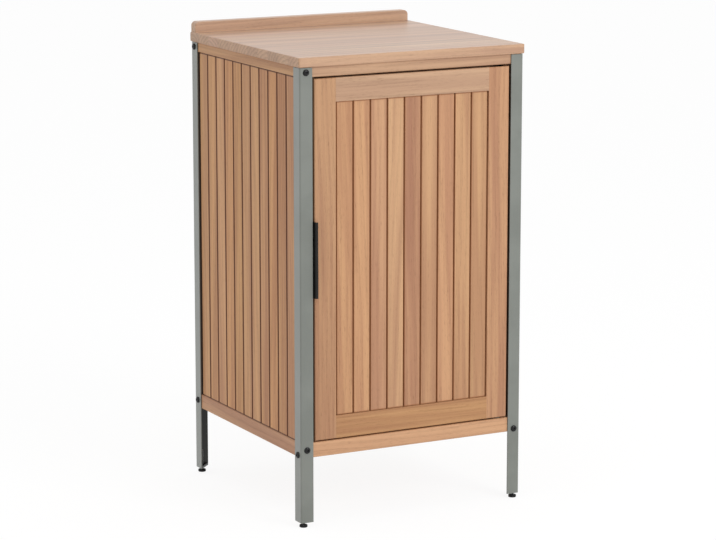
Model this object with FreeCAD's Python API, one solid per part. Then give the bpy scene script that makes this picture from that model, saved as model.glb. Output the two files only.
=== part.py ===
import FreeCAD, Part
import math
import os

# Outdoor kitchen cabinet: four steel angle legs bolted round a timber carcass,
# boarded sides and back, a hinged boarded door and a worktop with a low upstand.
# Sizes are in millimetres. Z is up, the door faces -Y and the floor is z = 0.

Vector = FreeCAD.Vector

# Worktop and upstand
worktop_width = 500.0
worktop_depth = 500.0
worktop_height = 928.0
worktop_thickness = 19.0
worktop_overhang = 2.5
worktop_corner_radius = 4.0
worktop_edge_chamfer = 1.5
upstand_height = 22.0
upstand_thickness = 22.0
upstand_end_inset = 3.0
upstand_housing_depth = 3.0
upstand_end_radius = 9.0
upstand_edge_chamfer = 1.2

# Legs: one folded steel angle, used four times
leg_flange = 27.0
leg_wall = 2.5
leg_bend_radius = 1.0
leg_lift = 10.0
leg_top_gap = 1.0
leg_plate_thickness = 5.0

# Levelling feet
foot_inset = 9.5
foot_pad_radius = 8.0
foot_pad_height = 5.0
foot_stem_radius = 3.0
foot_stem_length = 42.0
foot_thread_clearance = 0.08

# Carcass timber
top_rail_height = 20.0
bottom_rail_height = 30.0
bottom_rail_lift = 140.0
timber_edge_chamfer = 1.5
corner_relief = 0.5

# Tongued boards, shared by the walls and the door
board_thickness = 12.0
board_setback = 2.0
board_shadow_gap = 2.5
board_edge_chamfer = 1.2
board_shoulder_gap = 0.5
tongue_thickness = 4.0
tongue_reach = 7.0
joint_fit = 0.15
wall_board_count = 11
door_board_count = 9

# Door
door_side_gap = 4.5
door_end_gap = 3.5
door_thickness = 22.0
door_stile_width = 46.0
door_rail_width = 46.0

# Door pivots
pivot_edge_distance = 14.5
pivot_face_distance = 12.0
pivot_pin_radius = 3.0
pivot_pin_engagement = 10.0
pivot_running_fit = 0.05
pivot_plate_thickness = 2.5
pivot_plate_width = 14.0
pivot_plate_tail = 21.0
bush_radius = 5.0
bush_length = 12.0
door_bearing_gap = 0.3

# Door pull, folded from sheet
pull_length = 150.0
pull_rise = 4.0
pull_wall = 2.0
pull_reach = 8.0
pull_return = 3.5
pull_back_width = 25.0
pull_fold_radius = 0.8
pull_end_radius = 0.6

# Magnetic catch
catch_offset = 50.0
catch_width = 46.0
catch_depth = 14.0
catch_drop = 24.0
catch_wall = 4.0
magnet_width = 34.0
magnet_height = 12.0
strike_thickness = 1.5
catch_gap = 0.2

# Floor, shelf and worktop brackets
floor_thickness = 15.0
floor_drop = 2.0
floor_board_count = 5
floor_board_gap = 3.0
cleat_width = 16.0
shelf_height = 536.0
shelf_thickness = 16.0
shelf_setback = 45.0
shelf_edge_chamfer = 2.0
batten_thickness = 15.0
batten_height = 20.0
batten_end_gap = 8.0
bracket_leg = 18.0
bracket_wall = 2.0
bracket_width = 30.0
slip_gap = 0.6

# An edge that rises less than this is level
level_tolerance = 0.01

# Leg bolts
bolt_radius = 3.0
bolt_head_radius = 6.5
bolt_crown_radius = 4.0
bolt_head_height = 3.6
bolt_length = 20.0
bolt_hole_clearance = 0.25
bolt_socket_across_flats = 4.0
bolt_socket_depth = 2.0
bolt_high = 16.5
bolt_low = 6.0
bore_fit = 0.05

# Tenons that join each rail to the next side's rail
tenon_length = 12.0
tenon_thickness = 7.0
tenon_setback = 18.0
tenon_shoulder = 3.0

# Sizes that follow from those above
frame_width = worktop_width - 2 * worktop_overhang
frame_depth = worktop_depth - 2 * worktop_overhang
leg_middle = leg_flange / 2
worktop_underside = worktop_height - worktop_thickness
leg_top = worktop_underside - leg_top_gap
top_rail_bottom = worktop_underside - top_rail_height
bottom_rail_top = bottom_rail_lift + bottom_rail_height
top_bolt_height = top_rail_bottom + top_rail_height / 2
bottom_bolt_height = bottom_rail_lift + bolt_high
end_bolt_height = bottom_rail_lift + bolt_low
bottom_tenon_low = end_bolt_height + bolt_radius + tenon_shoulder
board_front = leg_wall + board_setback
board_back = board_front + board_thickness
groove_depth = tongue_reach + joint_fit
floor_top = bottom_rail_top - floor_drop
floor_bottom = floor_top - floor_thickness
shelf_bottom = shelf_height - shelf_thickness
door_left = leg_flange + door_side_gap
door_right = frame_width - door_left
door_bottom = bottom_rail_top + door_end_gap
door_top = top_rail_bottom - door_end_gap
pivot_across = door_right - pivot_edge_distance
pull_middle = (door_bottom + door_top) / 2 + pull_rise

# The bolt heads behind and the door pull in front set the middle of the depth
depth_shift = (pull_reach - bolt_head_height) / 2

SIDES = ["front", "right", "back", "left"]
CORNERS = ["front_left", "front_right", "back_right", "back_left"]
SIDE_LENGTHS = [frame_width, frame_depth, frame_width, frame_depth]
BOARDED_SIDES = [1, 2, 3]
ACROSS = Vector(1, 0, 0)
INWARD = Vector(0, 1, 0)
UP = Vector(0, 0, 1)
DOWN = Vector(0, 0, -1)

parts = {}


def place(shape, side):
    """Carry a shape from the plan of one side to its place round the cabinet.

    On every side x runs along the side from its left-hand corner, as seen from
    outside, and y runs inward from the outer face of the legs.
    """
    x = frame_width / 2 * (-1 if side in (0, 3) else 1)
    y = frame_depth / 2 * (-1 if side in (0, 1) else 1)
    moved = shape.copy()
    moved.rotate(Vector(0, 0, 0), UP, 90 * side)
    moved.translate(Vector(x, y + depth_shift, 0))
    return moved


def add(name, shape, side=0):
    """Put a finished piece, or one more of its group, in its place."""
    parts.setdefault(name, []).append(place(shape, side))


def drill(name, tool):
    """Cut a placed tool out of the solids of a piece that it reaches."""
    cut = []
    for solid in parts[name]:
        if solid.BoundBox.intersect(tool.BoundBox):
            solid = solid.cut(tool)
        cut.append(solid)
    parts[name] = cut


def box(x0, x1, y0, y1, z0, z1):
    return Part.makeBox(x1 - x0, y1 - y0, z1 - z0, Vector(x0, y0, z0))


def outline(corners, planed=False):
    """Closed flat outline from corners (x, y, size).

    A corner with a size is rounded to that radius, or planed off by that chamfer.
    """
    count = len(corners)
    starts = []
    eased = []
    ends = []
    for i, (x, y, size) in enumerate(corners):
        here = Vector(x, y, 0)
        if not size:
            starts.append(here)
            eased.append(None)
            ends.append(here)
            continue
        before = Vector(*corners[i - 1][:2], 0) - here
        after = Vector(*corners[(i + 1) % count][:2], 0) - here
        before.normalize()
        after.normalize()
        half = before.getAngle(after) / 2
        trim = size if planed else size / math.tan(half)
        start = here + before * trim
        end = here + after * trim
        if planed:
            eased.append(Part.makeLine(start, end))
        else:
            bisector = before + after
            bisector.normalize()
            middle = here + bisector * (size / math.sin(half) - size)
            eased.append(Part.Arc(start, middle, end).toShape())
        starts.append(start)
        ends.append(end)
    edges = []
    for i in range(count):
        if eased[i] is not None:
            edges.append(eased[i])
        edges.append(Part.makeLine(ends[i], starts[(i + 1) % count]))
    return Part.Face(Part.Wire(edges))


def upright(corners, bottom, top, planed=False):
    """Piece of constant plan, from corners (x, y, size)."""
    piece = outline(corners, planed).extrude(UP * (top - bottom))
    piece.translate(UP * bottom)
    return piece


def lengthwise(corners, start, end, planed=False):
    """Piece of constant section along a side, from corners (y, z, size)."""
    piece = outline(corners, planed).extrude(UP * (end - start))
    piece.rotate(Vector(0, 0, 0), Vector(1, 1, 1), 120)
    piece.translate(ACROSS * start)
    return piece


def turned(profile, base, direction):
    """Round piece from a profile of (radius, distance along the axis)."""
    points = [Vector(radius, 0, along) for radius, along in profile]
    face = Part.Face(Part.makePolygon(points + points[:1]))
    piece = face.revolve(Vector(0, 0, 0), UP, 360)
    piece.Placement = FreeCAD.Placement(base, FreeCAD.Rotation(UP, direction))
    return piece


def tongue_slot(x0, x1, front, z0, z1):
    """Cutter for the groove that takes a tongue of boards with this front face."""
    start = front + (board_thickness - tongue_thickness) / 2 - joint_fit
    return box(x0, x1, start, start + tongue_thickness + 2 * joint_fit, z0, z1)


def tongue_plate(x0, x1, front, z0, z1):
    """Tongue of boards or rails whose boards have this front face."""
    start = front + (board_thickness - tongue_thickness) / 2
    return box(x0, x1, start, start + tongue_thickness, z0, z1)


def board_face(x0, x1, count):
    """Face width of each board in a row with a shadow gap on every side."""
    return (x1 - x0 - (count + 1) * board_shadow_gap) / count


def board_left(x0, face, number):
    """Left edge of a board, counted from 0, in a row that starts at x0."""
    return x0 + board_shadow_gap + number * (face + board_shadow_gap)


def board_row(x0, x1, z0, z1, count, front):
    """Upright tongued boards that fill a grooved frame, left to right."""
    face = board_face(x0, x1, count)
    shoulder_bottom = z0 + board_shoulder_gap
    shoulder_top = z1 - board_shoulder_gap
    end_bottom = z0 - tongue_reach
    end_top = z1 + tongue_reach
    boards = []
    for i in range(count):
        left = board_left(x0, face, i)
        right = left + face
        back = front + board_thickness
        corners = [
            (left, front, board_edge_chamfer),
            (right, front, board_edge_chamfer),
            (right, back, 0),
            (left, back, 0),
        ]
        board = upright(corners, shoulder_bottom, shoulder_top, planed=True)
        tongue_left = left
        tongue_right = right
        reach = board_shadow_gap + tongue_reach
        if i == 0:
            side_tongue = tongue_plate(left - reach, left, front, shoulder_bottom, shoulder_top)
            board = board.fuse(side_tongue)
        else:
            board = board.cut(tongue_slot(left, left + groove_depth, front, z0, z1))
            tongue_left = left + groove_depth
        if i == count - 1:
            side_tongue = tongue_plate(right, right + reach, front, shoulder_bottom, shoulder_top)
            board = board.fuse(side_tongue)
        else:
            tongue_right = right + reach
        plate = tongue_plate(tongue_left, tongue_right, front, end_bottom, end_top)
        boards.append(board.fuse(plate).removeSplitter())
    return boards


def leg():
    """Folded angle with a welded corner plate that takes the foot."""
    corners = [
        (0, 0, leg_bend_radius + leg_wall),
        (leg_flange, 0, 0),
        (leg_flange, leg_wall, 0),
        (leg_wall, leg_wall, leg_bend_radius),
        (leg_wall, leg_flange, 0),
        (0, leg_flange, 0),
    ]
    angle = upright(corners, leg_lift, leg_top)
    plate_corners = [(leg_wall, leg_wall, 0), (leg_flange, leg_wall, 0), (leg_wall, leg_flange, 0)]
    plate = upright(plate_corners, leg_lift, leg_lift + leg_plate_thickness)
    piece = angle.fuse(plate).removeSplitter()
    hole_radius = bolt_radius + bolt_hole_clearance
    for z in (top_bolt_height, bottom_bolt_height):
        piece = piece.cut(Part.makeCylinder(hole_radius, leg_flange, Vector(leg_middle, 0, z), INWARD))
    low = Vector(0, leg_middle, end_bolt_height)
    piece = piece.cut(Part.makeCylinder(hole_radius, leg_flange, low, ACROSS))
    foot_hole = foot_stem_radius + foot_thread_clearance
    axis = Vector(foot_inset, foot_inset, leg_lift)
    return piece.cut(Part.makeCylinder(foot_hole, leg_plate_thickness, axis, UP))


def leg_bolt(base, direction):
    """Button-head bolt with a hexagon socket, its head seated at the base."""
    profile = [
        (0, -bolt_head_height),
        (bolt_crown_radius, -bolt_head_height),
        (bolt_head_radius, 0),
        (bolt_radius, 0),
        (bolt_radius, bolt_length),
        (0, bolt_length),
    ]
    bolt = turned(profile, Vector(0, 0, 0), UP)
    reach = bolt_socket_across_flats / math.sqrt(3)
    ring = [math.radians(60 * i) for i in range(6)]
    hexagon = [(reach * math.cos(a), reach * math.sin(a), 0) for a in ring]
    bolt = bolt.cut(upright(hexagon, -bolt_head_height, bolt_socket_depth - bolt_head_height))
    bolt.Placement = FreeCAD.Placement(base, FreeCAD.Rotation(UP, direction))
    return bolt


def bolted_joint(side, rail, across, inward, height, direction):
    """Bolt through a leg flange into a rail."""
    base = Vector(across, inward, height)
    add("leg_bolts", leg_bolt(base, direction), side)
    bore = Part.makeCylinder(bolt_radius + bore_fit, bolt_length + bolt_hole_clearance, base, direction)
    drill(rail, place(bore, side))


def rail(side, bottom, top):
    """Rail that runs behind the leg at its left and butts its neighbour at its right."""
    end = SIDE_LENGTHS[side] - leg_flange
    corners = [
        (leg_wall, leg_wall, leg_bend_radius + corner_relief),
        (end, leg_wall, 0),
        (end, leg_flange, 0),
        (leg_wall, leg_flange, 0),
    ]
    return upright(corners, bottom, top, planed=True)


def edge_cutter(start, end, front, z, inside):
    """Cutter that planes a long front edge at z, with the timber on the inside."""
    c = timber_edge_chamfer
    corners = [(front, z, 0), (front + c, z, 0), (front, z + inside * c, 0)]
    return lengthwise(corners, start, end)


def tenon(side, low, high, fit=0.0):
    """Tenon at a rail's butting end, or its mortise when grown by a fit."""
    start = SIDE_LENGTHS[side] - leg_flange
    end = start + tenon_length + fit
    far = tenon_setback + tenon_thickness
    return box(start, end, tenon_setback - fit, far + fit, low - fit, high + fit)


def make_rails():
    """Top and bottom rails of all four sides, grooved where boards meet them."""
    top_tenon = (top_rail_bottom + tenon_shoulder, worktop_underside - tenon_shoulder)
    bottom_tenon = (bottom_tenon_low, bottom_rail_top - tenon_shoulder)
    for side, word in enumerate(SIDES):
        end = SIDE_LENGTHS[side] - leg_flange
        top = rail(side, top_rail_bottom, worktop_underside)
        bottom = rail(side, bottom_rail_lift, bottom_rail_top)
        top = top.cut(edge_cutter(leg_flange, end, leg_wall, top_rail_bottom, 1))
        bottom = bottom.cut(edge_cutter(leg_flange, end, leg_wall, bottom_rail_lift, 1))
        bottom = bottom.cut(edge_cutter(leg_flange, end, leg_wall, bottom_rail_top, -1))
        if side in BOARDED_SIDES:
            slot_top = top_rail_bottom + groove_depth
            slot_bottom = bottom_rail_top - groove_depth
            top = top.cut(tongue_slot(leg_flange, end, board_front, top_rail_bottom, slot_top))
            bottom = bottom.cut(tongue_slot(leg_flange, end, board_front, slot_bottom, bottom_rail_top))
        add(word + "_top_rail", top.fuse(tenon(side, *top_tenon)).removeSplitter(), side)
        add(word + "_bottom_rail", bottom.fuse(tenon(side, *bottom_tenon)).removeSplitter(), side)
    for side in range(len(SIDES)):
        neighbour = SIDES[(side + 1) % len(SIDES)]
        drill(neighbour + "_top_rail", place(tenon(side, *top_tenon, joint_fit), side))
        drill(neighbour + "_bottom_rail", place(tenon(side, *bottom_tenon, joint_fit), side))


def make_posts():
    """Corner posts that fill the angle of each leg between the rails."""
    for side, corner in enumerate(CORNERS):
        corners = [
            (leg_wall, leg_wall, leg_bend_radius + corner_relief),
            (leg_flange, leg_wall, 0),
            (leg_flange, leg_flange, timber_edge_chamfer),
            (leg_wall, leg_flange, 0),
        ]
        post = upright(corners, bottom_rail_top, top_rail_bottom, planed=True)
        start = leg_flange - groove_depth
        slot = tongue_slot(start, leg_flange, board_front, bottom_rail_top, top_rail_bottom)
        if side in BOARDED_SIDES:
            post = post.cut(slot)
        if (side - 1) % len(SIDES) in BOARDED_SIDES:
            post = post.cut(slot.mirror(Vector(0, 0, 0), Vector(1, -1, 0)))
        add("post_" + corner, post, side)


def make_walls():
    """Boarded walls of the two sides and the back."""
    for side in BOARDED_SIDES:
        end = SIDE_LENGTHS[side] - leg_flange
        row = board_row(leg_flange, end, bottom_rail_top, top_rail_bottom, wall_board_count, board_front)
        for board in row:
            add(SIDES[side] + "_boards", board, side)


def make_legs():
    """Legs, their bolts and the levelling feet under them."""
    for side, corner in enumerate(CORNERS):
        word = SIDES[side]
        add("leg_" + corner, leg(), side)
        bolted_joint(side, word + "_top_rail", leg_middle, 0, top_bolt_height, INWARD)
        bolted_joint(side, word + "_bottom_rail", leg_middle, 0, bottom_bolt_height, INWARD)
        bolted_joint(side, word + "_bottom_rail", 0, leg_middle, end_bolt_height, ACROSS)
        add("foot_pad_" + corner, foot_pad(), side)
        add("foot_stem_" + corner, foot_stem(), side)


def foot_pad():
    """Round moulded pad under a leg."""
    return Part.makeCylinder(foot_pad_radius, foot_pad_height, Vector(foot_inset, foot_inset, 0), UP)


def foot_stem():
    """Threaded stem, drawn plain, that stands on the pad."""
    base = Vector(foot_inset, foot_inset, foot_pad_height)
    return Part.makeCylinder(foot_stem_radius, foot_stem_length, base, UP)


def make_worktop():
    """Glued worktop with eased edges and a shallow housing for the upstand."""
    half = worktop_width / 2
    front = -worktop_overhang
    back = frame_depth + worktop_overhang
    middle = frame_width / 2
    radius = worktop_corner_radius
    corners = [
        (middle - half, front, radius),
        (middle + half, front, radius),
        (middle + half, back, radius),
        (middle - half, back, radius),
    ]
    top = upright(corners, worktop_underside, worktop_height)
    level = [edge for edge in top.Edges if edge.BoundBox.ZLength < level_tolerance]
    top = top.makeChamfer(worktop_edge_chamfer, level)
    left = middle - half + upstand_end_inset
    right = middle + half - upstand_end_inset
    low = worktop_height - upstand_housing_depth
    housing = box(left, right, back - upstand_thickness, back, low, worktop_height)
    add("worktop", top.cut(housing))
    add("upstand", upstand(left, right, back - upstand_thickness, low))


def upstand(left, right, front, bottom):
    """Low upstand with rounded ends and eased long edges."""
    top = worktop_height + upstand_height
    corners = [
        (left, bottom, 0),
        (right, bottom, 0),
        (right, top, upstand_end_radius),
        (left, top, upstand_end_radius),
    ]
    bar = outline(corners).extrude(UP * upstand_thickness)
    bar.rotate(Vector(0, 0, 0), ACROSS, 90)
    bar.translate(INWARD * (front + upstand_thickness))
    flat = [edge for edge in bar.Edges if edge.BoundBox.YLength < level_tolerance]
    eased = [edge for edge in flat if edge.BoundBox.ZMax > bottom + level_tolerance]
    return bar.makeChamfer(upstand_edge_chamfer, eased)


def make_door():
    """Door frame of two stiles and two rails, flush in front, grooved round a row of boards."""
    th = door_thickness
    c = timber_edge_chamfer
    inner_left = door_left + door_stile_width
    inner_right = door_right - door_stile_width
    low = door_bottom + door_rail_width
    high = door_top - door_rail_width
    front = board_setback
    left_corners = [(door_left, 0, c), (inner_left, 0, 0), (inner_left, th, 0), (door_left, th, c)]
    right_corners = [(inner_right, 0, 0), (door_right, 0, c), (door_right, th, c), (inner_right, th, 0)]
    left = upright(left_corners, door_bottom, door_top, planed=True)
    right = upright(right_corners, door_bottom, door_top, planed=True)
    left = left.cut(tongue_slot(inner_left - groove_depth, inner_left, front, door_bottom, door_top))
    right = right.cut(tongue_slot(inner_right, inner_right + groove_depth, front, door_bottom, door_top))
    top = box(inner_left, inner_right, 0, th, high, door_top)
    bottom = box(inner_left, inner_right, 0, th, door_bottom, low)
    tenon_left = inner_left - tongue_reach
    tenon_right = inner_right + tongue_reach
    top = top.cut(tongue_slot(inner_left, inner_right, front, high, high + groove_depth))
    top = top.fuse(tongue_plate(tenon_left, tenon_right, front, high + groove_depth, door_top))
    bottom = bottom.cut(tongue_slot(inner_left, inner_right, front, low - groove_depth, low))
    bottom = bottom.fuse(tongue_plate(tenon_left, tenon_right, front, door_bottom, low - groove_depth))
    upper_edge = edge_cutter(door_left, door_right, 0, door_top, -1)
    lower_edge = edge_cutter(door_left, door_right, 0, door_bottom, 1)
    members = {"left_stile": left, "right_stile": right, "top_rail": top, "bottom_rail": bottom}
    for word, member in members.items():
        add("door_" + word, member.cut(upper_edge).cut(lower_edge).removeSplitter())
    row = board_row(inner_left, inner_right, low, high, door_board_count, front)
    for number, board in enumerate(row, 1):
        add("door_board_%d" % number, board)


def pivot(plate_level, direction, gap):
    """Pivot plate let into the end of the stile, with its pin."""
    start = pivot_across - pivot_plate_tail
    end = pivot_across + pivot_plate_width / 2
    near = pivot_face_distance - pivot_plate_width / 2
    far = pivot_face_distance + pivot_plate_width / 2
    low = min(plate_level, plate_level - direction.z * pivot_plate_thickness)
    plate = box(start, end, near, far, low, low + pivot_plate_thickness)
    foot = Vector(pivot_across, pivot_face_distance, plate_level)
    pin = Part.makeCylinder(pivot_pin_radius, gap + pivot_pin_engagement, foot, direction)
    return plate, plate.fuse(pin).removeSplitter()


def bush(level, proud, direction):
    """Plain bush let into a rail; it stands proud of the rail where it carries the door."""
    base = Vector(pivot_across, pivot_face_distance, level) - direction * proud
    length = proud + bush_length
    tube = Part.makeCylinder(bush_radius, length, base, direction)
    return tube.cut(Part.makeCylinder(pivot_pin_radius + pivot_running_fit, length, base, direction))


def make_pivots():
    """Concealed pivots at the top and bottom of the door's right-hand stile."""
    ends = [
        ("top", door_top, UP, top_rail_bottom, 0),
        ("bottom", door_bottom, DOWN, bottom_rail_top, door_end_gap - door_bearing_gap),
    ]
    for word, level, direction, rail_face, proud in ends:
        plate, pinned = pivot(level, direction, door_end_gap)
        drill("door_right_stile", place(plate, 0))
        add("door_pivots", pinned)
        add("pivot_bushes", bush(rail_face, proud, direction))
        seat = Vector(pivot_across, pivot_face_distance, rail_face)
        socket = Part.makeCylinder(bush_radius + bore_fit, bush_length + bore_fit, seat, direction)
        drill("front_" + word + "_rail", place(socket, 0))


def make_pull():
    """Pull folded round the door's left edge, with a return to hook fingers behind."""
    outer = pull_fold_radius + pull_wall
    inner = pull_fold_radius
    left = door_left - pull_wall
    back = door_thickness + pull_wall
    corners = [
        (door_left + pull_back_width, door_thickness, 0),
        (door_left + pull_back_width, back, 0),
        (left, back, outer),
        (left, -pull_reach, outer),
        (door_left + pull_return, -pull_reach, pull_end_radius),
        (door_left + pull_return, pull_wall - pull_reach, pull_end_radius),
        (door_left, pull_wall - pull_reach, inner),
        (door_left, door_thickness, inner),
    ]
    low = pull_middle - pull_length / 2
    add("door_pull", upright(corners, low, low + pull_length))


def make_catch():
    """Magnetic catch behind the top rail and its strike plate on the door."""
    left = door_left + catch_offset
    right = left + catch_width
    middle = (left + right) / 2
    low = door_top - catch_drop
    nose = door_thickness + strike_thickness + 2 * catch_gap
    high = top_bolt_height + catch_wall
    rear = leg_flange + catch_depth
    corners = [
        (nose, low, 0),
        (rear, low, 0),
        (rear, high, 0),
        (leg_flange, high, 0),
        (leg_flange, door_top, 0),
        (nose, door_top, 0),
    ]
    housing = lengthwise(corners, left, right)
    magnet_low = low + (catch_drop - magnet_height) / 2
    magnet = box(
        middle - magnet_width / 2,
        middle + magnet_width / 2,
        nose - catch_gap,
        rear - catch_wall,
        magnet_low,
        magnet_low + magnet_height,
    )
    add("catch_housing", housing.cut(magnet))
    add("catch_magnet", magnet)
    strike_face = door_thickness + strike_thickness
    add("strike_plate", box(left, right, door_thickness, strike_face, low + catch_gap, door_top - catch_wall))


def make_floor():
    """Spaced floor boards on a cleat along each side rail."""
    start = leg_flange + slip_gap
    end = frame_width - start
    span = frame_depth - 2 * start
    width = (span - (floor_board_count - 1) * floor_board_gap) / floor_board_count
    for side in (1, 3):
        near = leg_flange + slip_gap
        far = SIDE_LENGTHS[side] - near
        low = bottom_rail_lift + slip_gap
        add("floor_cleats", box(near, far, leg_flange, leg_flange + cleat_width, low, floor_bottom), side)
    for i in range(floor_board_count):
        near = start + i * (width + floor_board_gap)
        far = near + width
        c = timber_edge_chamfer
        corners = [(near, floor_bottom, 0), (far, floor_bottom, 0), (far, floor_top, c), (near, floor_top, c)]
        add("floor_boards", lengthwise(corners, start, end, planed=True))


def make_shelf():
    """Shelf on a batten screwed across the boards of each side wall."""
    start = board_back + slip_gap
    back = frame_depth - leg_flange - slip_gap
    c = shelf_edge_chamfer
    corners = [
        (shelf_setback, shelf_bottom, c),
        (back, shelf_bottom, 0),
        (back, shelf_height, 0),
        (shelf_setback, shelf_height, c),
    ]
    add("shelf", lengthwise(corners, start, frame_width - start, planed=True))
    for side in (1, 3):
        near = leg_flange + batten_end_gap
        far = SIDE_LENGTHS[side] - near
        low = shelf_bottom - batten_height
        inner = board_back + batten_thickness
        section = [
            (board_back, low, 0),
            (inner, low, timber_edge_chamfer),
            (inner, shelf_bottom, 0),
            (board_back, shelf_bottom, 0),
        ]
        add("shelf_battens", lengthwise(section, near, far, planed=True), side)


def make_brackets():
    """Angle bracket at the middle of each top rail, holding the worktop down."""
    face = leg_flange
    level = worktop_underside
    section = [
        (face, level, 0),
        (face, level - bracket_leg, 0),
        (face + bracket_wall, level - bracket_leg, 0),
        (face + bracket_wall, level - bracket_wall, 0),
        (face + bracket_leg, level - bracket_wall, 0),
        (face + bracket_leg, level, 0),
    ]
    for side, word in enumerate(SIDES):
        middle = SIDE_LENGTHS[side] / 2
        start = middle - bracket_width / 2
        add("worktop_brackets", lengthwise(section, start, start + bracket_width), side)


def write_parts():
    os.makedirs("parts", exist_ok=True)
    for name, solids in parts.items():
        shape = solids[0] if len(solids) == 1 else Part.makeCompound(solids)
        shape.exportStep("parts/%s.step" % name)
    print(len(parts), "pieces written")


make_rails()
make_posts()
make_walls()
make_legs()
make_worktop()
make_door()
make_pivots()
make_pull()
make_catch()
make_floor()
make_shelf()
make_brackets()
write_parts()
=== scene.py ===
# %% [markdown]
# # An outdoor kitchen cabinet
# The cabinet is a timber box carried between four steel angle legs, with a boarded door
# and a worktop that has a low upstand along its back. The frame brings every piece at its
# real size. This lesson gives each piece the surface that its maker left on it, and models
# the small things that are too fine for the frame: bolt heads, screw threads, wood screws.
# All lengths are in metres, +Z is up and the door faces -Y.

# %% Load the frame
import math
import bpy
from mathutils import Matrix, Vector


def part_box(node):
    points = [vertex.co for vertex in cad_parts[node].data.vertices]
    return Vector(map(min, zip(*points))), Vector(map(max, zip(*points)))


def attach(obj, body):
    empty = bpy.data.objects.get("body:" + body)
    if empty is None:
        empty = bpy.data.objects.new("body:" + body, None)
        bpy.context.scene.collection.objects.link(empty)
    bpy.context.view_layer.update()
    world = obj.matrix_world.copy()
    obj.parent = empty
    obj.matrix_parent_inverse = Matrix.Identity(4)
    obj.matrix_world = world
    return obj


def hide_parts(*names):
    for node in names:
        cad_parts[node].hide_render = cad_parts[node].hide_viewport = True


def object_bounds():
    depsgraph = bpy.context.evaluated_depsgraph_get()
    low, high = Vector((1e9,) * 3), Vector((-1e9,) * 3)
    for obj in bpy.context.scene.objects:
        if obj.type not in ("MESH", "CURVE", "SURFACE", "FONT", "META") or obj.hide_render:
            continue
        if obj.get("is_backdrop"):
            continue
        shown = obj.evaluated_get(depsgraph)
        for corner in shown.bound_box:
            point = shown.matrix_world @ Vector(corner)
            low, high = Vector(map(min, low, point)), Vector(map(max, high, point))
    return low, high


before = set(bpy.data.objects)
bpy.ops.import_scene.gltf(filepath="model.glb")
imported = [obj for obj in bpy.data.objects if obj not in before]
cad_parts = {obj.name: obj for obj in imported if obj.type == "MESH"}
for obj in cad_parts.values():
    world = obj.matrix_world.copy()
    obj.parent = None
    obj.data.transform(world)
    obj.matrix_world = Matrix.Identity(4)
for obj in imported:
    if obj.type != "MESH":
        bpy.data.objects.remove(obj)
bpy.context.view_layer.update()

# %% Units
from types import SimpleNamespace

import bpy
from mathutils import Vector

mm = 0.001

# %% [markdown]
# ## Camera
# The picture was taken from the front and a little to the left, from above the worktop and
# from far off, so upright edges stay nearly parallel. A short lens near by would make them
# lean, so the lens is long. Its place and the two angles were found by matching the corners of
# the cabinet with the picture.

# %% Set up the camera
image_width = 716
focal_pixels = 2950.6
camera_place = Vector((-2.7436, -5.2392, 1.6182))
camera_pitch = math.radians(11.157)
camera_heading = math.radians(27.698)

lens = bpy.data.cameras.new("camera")
lens.lens = lens.sensor_width * focal_pixels / image_width
camera = bpy.data.objects.new("camera", lens)
camera.location = camera_place
camera.rotation_euler = (math.pi / 2 - camera_pitch, 0, -camera_heading)
bpy.context.collection.objects.link(camera)
bpy.context.scene.camera = camera
bpy.context.scene.view_settings.view_transform = "Standard"
print("lens in mm:", round(lens.lens, 1))

# %% [markdown]
# ## Arithmetic with shader sockets
# A shader is a graph of small sums. Drawn as nodes, a formula such as 1 - mask * 0.3 takes
# two boxes and their wires; written as Python it is one line. This class wraps a socket and
# overloads the operators, so that an expression adds its own Math nodes. Every other node
# comes from the one method node, which sets the settings first and then the sockets.


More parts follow.
